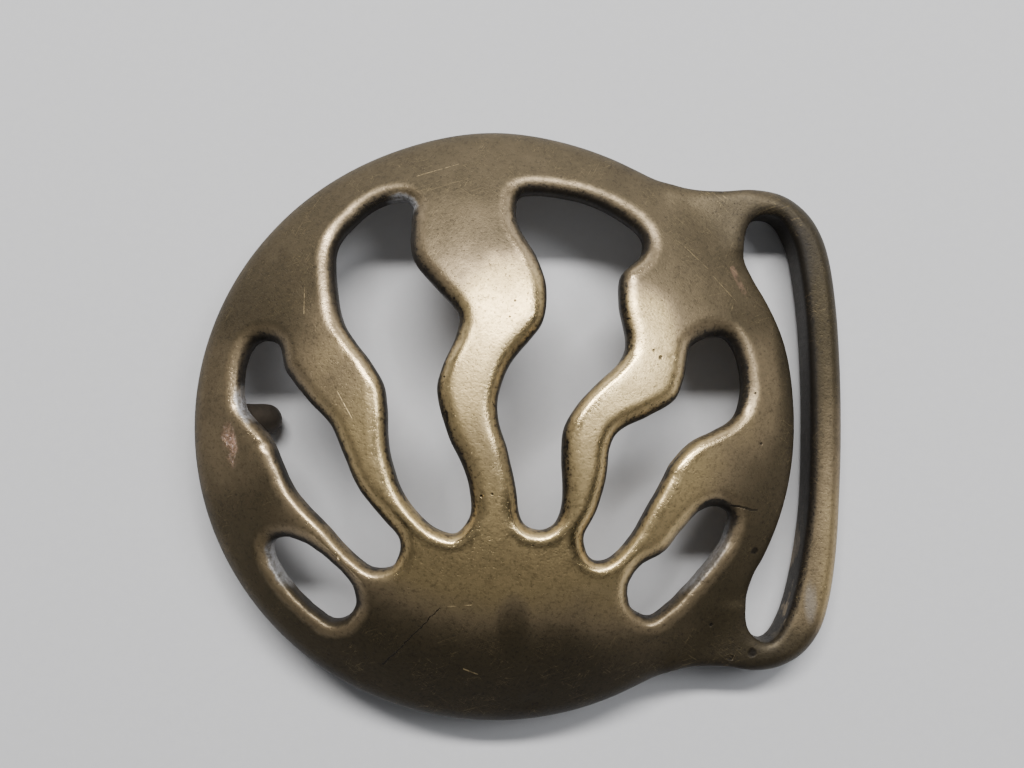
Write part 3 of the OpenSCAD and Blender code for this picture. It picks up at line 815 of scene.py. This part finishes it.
def aged_brass():
    material, w, shader = new_material("aged_brass")
    s = Surface(w)
    skin_and_light, grime_and_shade = skin_and_light_mask(s), grime_and_shade_mask(s)
    dark_lines, light_lines, pits, dent, copper = single_marks(s)
    # Window edges that meet clothes and hands are burnished. Their band is also painted lighter, partly as
    # a painted highlight, and less so on the sides that turn from the lamp
    burnished_and_highlit = s.gap.rise(0.35, 0.7) * (1 - s.gap.rise(1.1, 1.9)) * (1 - s.at_rim) * (1 - s.shy * 0.5)
    specks = 1 - s.grain.rise(0.30, 0.36, smooth=False)
    mottling = (s.clouds * 0.6 + s.patches * 0.4 - 0.5) * skin_and_light.rise(0.6, 0.9)
    hairs = sum(scratched(w, s.where, turn, scale, HAIR_FINENESS) for turn, scale in HAIRS)
    # A pale painted reflection on the pale walls and edges, and on a spot low on the bar
    painted_reflection = (s.pale_walls * s.side * (s.speckle * 1.6 - 0.25)
            + s.plan.blob(*REFLECTION_SPOT) * s.streaks.rise(0.35, 0.60) * 0.22).clamp()

    colour = mix_colour(w, (s.clouds * 1.3 - 0.15).clamp(), BRIGHT_BRASS, WARM_BRASS)
    colour = mix_colour(w, skin_and_light.rise(0.30, 0.85), colour, DULL_BRASS)
    # The brown skin, which also carries the painted highlights and painted shade of its map
    colour = mix_colour(w, (skin_and_light - burnished_and_highlit * 0.30).clamp(), colour, BROWN_SKIN_AND_SHADE)
    colour = mix_colour(w, copper, colour, COPPER_TINT)
    black = (grime_and_shade * 0.95 + mottling * 0.95 + dark_lines * 0.7 + pits * 0.8 + specks * 0.45
             + (0.5 - s.speckle).clamp() * 1.8).clamp()
    # Black grime, with the painted shade laid in with it
    colour = mix_colour(w, black, colour, BLACK_GRIME_AND_SHADE)
    hair_lines = (hairs * s.patches.rise(0.46, 0.60) * (1 - skin_and_light * 0.6) * 0.22 * (1 - s.wall)).clamp()
    colour = mix_colour(w, hair_lines, colour, BRIGHT_BRASS)
    colour = mix_colour(w, light_lines * 0.35, colour, BRIGHT_BRASS)
    # Painted pink glints: near-white pink specks in the coppery dent stand for highlights
    colour = mix_colour(w, (dent * s.speckle.rise(0.54, 0.64)).clamp(), colour, PINK_GLINT)
    # The pale painted reflection
    colour = mix_colour(w, painted_reflection, colour, PALE_PAINTED_REFLECTION)
    w.put(shader.inputs["Base Color"], colour)
    w.put(shader.inputs["Metallic"], 1 - (skin_and_light * 0.25 + grime_and_shade * 0.35 + painted_reflection * 0.6).clamp())
    rough = ((s.fine - 0.5) * 0.14 + (s.clouds - 0.5) * 0.10 + skin_and_light * 0.05 - burnished_and_highlit * 0.18
             - s.pale_walls * s.wall * 0.20 + grime_and_shade * 0.10 + BRASS_ROUGHNESS - copper * 0.16)
    w.put(shader.inputs["Roughness"], rough.clamp())

    polish = sum(scratched(w, s.where, turn, scale, thin) * deep for turn, scale, thin, deep in POLISH)
    height = (s.grain * 0.021 + s.fine * 0.024 + s.patches * 0.012 - polish * (1 - s.wall)
              + s.noise(FLANK) * s.side * 0.14 - dark_lines * 0.03 - dent * 0.16 - light_lines * 0.015
              - pits * 0.06 - specks * 0.008)
    w.put(shader.inputs["Normal"], w.out("ShaderNodeBump", Height=height, Strength=1.0, Distance=MM))
    return material


casting_metal = aged_brass()
casting = baked_piece("buckle_casting_cast", sheet_mesh, casting_tree(),
                      {**CASTING_SIZES, "Metal": casting_metal})
print("casting: %d faces" % len(casting.data.polygons))
print("its brass: %d nodes" % len(casting_metal.node_tree.nodes))

# %% [markdown]
# The stud is turned: one side of its outline, spun round its own leaning axis. Its foot sits a little
# wider on the back of the plate, and its end is round so that it slips through the belt's hole.

# %% The stud
STUD_R, STUD_TIP_X, STUD_FOOT_X, STUD_Y = 1.7, 25.0, 27.6, 0.9
foot_z = face_z(STUD_FOOT_X, STUD_Y) - PLATE_T
stud_tip = Vector((-STUD_TIP_X, STUD_Y, STUD_R))
stud_foot = Vector((-STUD_FOOT_X, STUD_Y, foot_z))
stud_axis = (stud_foot - stud_tip).normalized()
stud_long = (stud_foot - stud_tip).length
# Along the stud from its tip, and its radius there
STUD_SIDE = [(-1.70, 0.02), (-1.66, 0.36), (-1.52, 0.76), (-1.26, 1.13), (-0.90, 1.44), (-0.45, 1.63),
             (0.0, 1.695), (0.5, 1.70), (1.2, 1.69), (2.0, 1.68), (2.8, 1.69), (3.01, 1.70), (3.2, 1.77),
             (3.45, 1.92), (3.6, 1.95), (4.4, 1.95), (5.0, 1.95), (5.25, 1.9), (5.3, 0.02)]


def turned(name, side, start, axis, turns=48):
    """A closed turned solid: the side outline spun round an axis."""
    across = axis.orthogonal().normalized()
    other = axis.cross(across)
    build = bmesh.new()
    rings = []
    for along, radius in side:
        ring = []
        for k in range(turns):
            a = 2 * math.pi * k / turns
            spot = start + axis * along + (across * math.cos(a) + other * math.sin(a)) * radius
            ring.append(build.verts.new(place(*spot)))
        rings.append(ring)
    for low, high in zip(rings, rings[1:]):
        for k in range(turns):
            n = (k + 1) % turns
            build.faces.new((low[k], low[n], high[n], high[k]))
    build.faces.new(list(reversed(rings[0])))
    build.faces.new(rings[-1])
    bmesh.ops.recalc_face_normals(build, faces=build.faces)
    for face in build.faces:
        face.smooth = True
    mesh = bpy.data.meshes.new(name)
    build.to_mesh(mesh)
    build.free()
    piece = bpy.data.objects.new(name, mesh)
    bpy.context.scene.collection.objects.link(piece)
    return piece


# The stud is nearly black, with random patches of a little brown
STUD_BLACK, STUD_BROWN = (0.012, 0.010, 0.008, 1), (0.12, 0.095, 0.07, 1)


def stud_brass():
    material, w, shader = new_material("stud_brass")
    where = w.out("ShaderNodeTexCoord", pick="Object")
    clouds, fine = noise(w, where, 260, 4, 0.6), noise(w, where, 1400, 3, 0.6)
    worn = ((clouds - 0.5) * 1.2 + (fine - 0.5) * 0.5 + 0.35).clamp()
    w.put(shader.inputs["Base Color"], mix_colour(w, worn, STUD_BLACK, STUD_BROWN))
    w.put(shader.inputs["Metallic"], worn * 0.4 + 0.5)
    w.put(shader.inputs["Roughness"], 0.6 - worn * 0.14)
    height = fine * 0.02 + clouds * 0.02
    w.put(shader.inputs["Normal"], w.out("ShaderNodeBump", Height=height, Strength=1.0, Distance=MM))
    return material


stud = turned("belt_stud_turned", STUD_SIDE, stud_tip, stud_axis)
stud.data.materials.append(stud_brass())
print("stud: %.1f mm free, leaning %.0f degrees" % (stud_long, math.degrees(math.acos(stud_axis.z))))

# %% [markdown]
# Every piece rides on the imported body, and the imported solid that it stands for is hidden.

# %% Join the pieces to the imported model
for piece, node, slot_name in ((casting, "buckle_casting", "aged_brass"), (stud, "belt_stud", "stud_brass")):
    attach(piece, "root")
    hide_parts(node)

# %% [markdown]
# The table is plain, pale and matt. It lies at height 0, where the buckle's bar and stud rest.

# %% The table
TABLE_HALF = 1.5
PALE_GREY, PALER_GREY = (0.60, 0.60, 0.615, 1), (0.66, 0.66, 0.675, 1)
corners = [(x * TABLE_HALF, y * TABLE_HALF, 0) for x, y in ((-1, -1), (1, -1), (1, 1), (-1, 1))]
floor_mesh = bpy.data.meshes.new("table_top")
floor_mesh.from_pydata(corners, [], [(0, 1, 2, 3)])
floor = bpy.data.objects.new("table_top", floor_mesh)
bpy.context.scene.collection.objects.link(floor)
paper, w, shader = new_material("pale_table")
mottled = noise(w, w.out("ShaderNodeTexCoord", pick="Object"), 900, 4, 0.7)
w.put(shader.inputs["Base Color"], mix_colour(w, mottled, PALE_GREY, PALER_GREY))
w.put(shader.inputs["Roughness"], 0.85)
floor.data.materials.append(paper)

# %% [markdown]
# The camera stands where the real lens was, about a hand's breadth above the buckle and looking straight
# down. The spot under the lens lies a little below the middle of the picture, so the picture is framed a
# little higher, which is the camera's shift.

# %% The camera
PHOTO_W, PHOTO_H = 1024, 768
FOCAL_PX = 952.6
NADIR_PY = 419
camera_data = bpy.data.cameras.new("lens")
camera_data.sensor_width = 36.0
camera_data.lens = FOCAL_PX * camera_data.sensor_width / PHOTO_W
camera_data.shift_y = (NADIR_PY - PHOTO_H / 2) / PHOTO_W
camera_data.clip_start = 0.002
camera = bpy.data.objects.new("lens", camera_data)
camera.location = place(LENS_X, LENS_Y, LENS_Z)
bpy.context.scene.collection.objects.link(camera)
bpy.context.scene.camera = camera
print("lens of %.1f mm, %.0f mm above the table" % (camera_data.lens, LENS_Z))

# %% [markdown]
# A dome of metal is a mirror of its room, bent small. One wide, low lamp beyond the top of the picture
# draws the highlights on the rays, and a weak one at the right fills the bar. The room itself is dim, but
# for a bright far wall and a pale band at the horizon, which the lower slopes of the dome reflect.

# %% Lamps and room
# Name, place in metres, width, height, watts and colour. Both lamps aim at the middle of the table
LAMPS = [
    ("window_light", (0.0, 0.475, 0.64), 0.62, 0.09, 10.2, (1.0, 0.99, 0.97)),
    ("side_light", (0.42, 0.24, 0.58), 0.26, 0.26, 1.9, (0.96, 0.98, 1.0))]
for name, spot, wide, high, watts, colour in LAMPS:
    data = bpy.data.lights.new(name, "AREA")
    data.shape, data.size, data.size_y, data.energy, data.color = "RECTANGLE", wide, high, watts, colour
    lamp = bpy.data.objects.new(name, data)
    lamp.location = spot
    lamp.rotation_euler = (-Vector(spot)).to_track_quat("-Z", "Y").to_euler()
    bpy.context.scene.collection.objects.link(lamp)

world = bpy.data.worlds.new("room")
bpy.context.scene.world = world
world.use_nodes = True
world.node_tree.nodes.clear()
w = Wire(world.node_tree, None)
sky = w.node("ShaderNodeSeparateXYZ", Vector=w.out("ShaderNodeTexCoord", pick="Generated"))
toward, height = Wire(w.tree, sky.outputs[1]), Wire(w.tree, sky.outputs[2])
overhead = height.rise(0.40, 0.95) * toward.rise(-0.85, -0.15) * 0.20
far_wall = toward.rise(0.3, 0.9) * (1 - height.rise(0.20, 0.40)) * 1.5
horizon = (1 - height.rise(0.10, 0.24)) * 0.40
backdrop = w.node("ShaderNodeBackground", Color=(0.95, 0.97, 1.0, 1),
                  Strength=overhead + far_wall + horizon + 0.004)
leave = w.node("ShaderNodeOutputWorld")
w.tree.links.new(backdrop.outputs[0], leave.inputs[0])
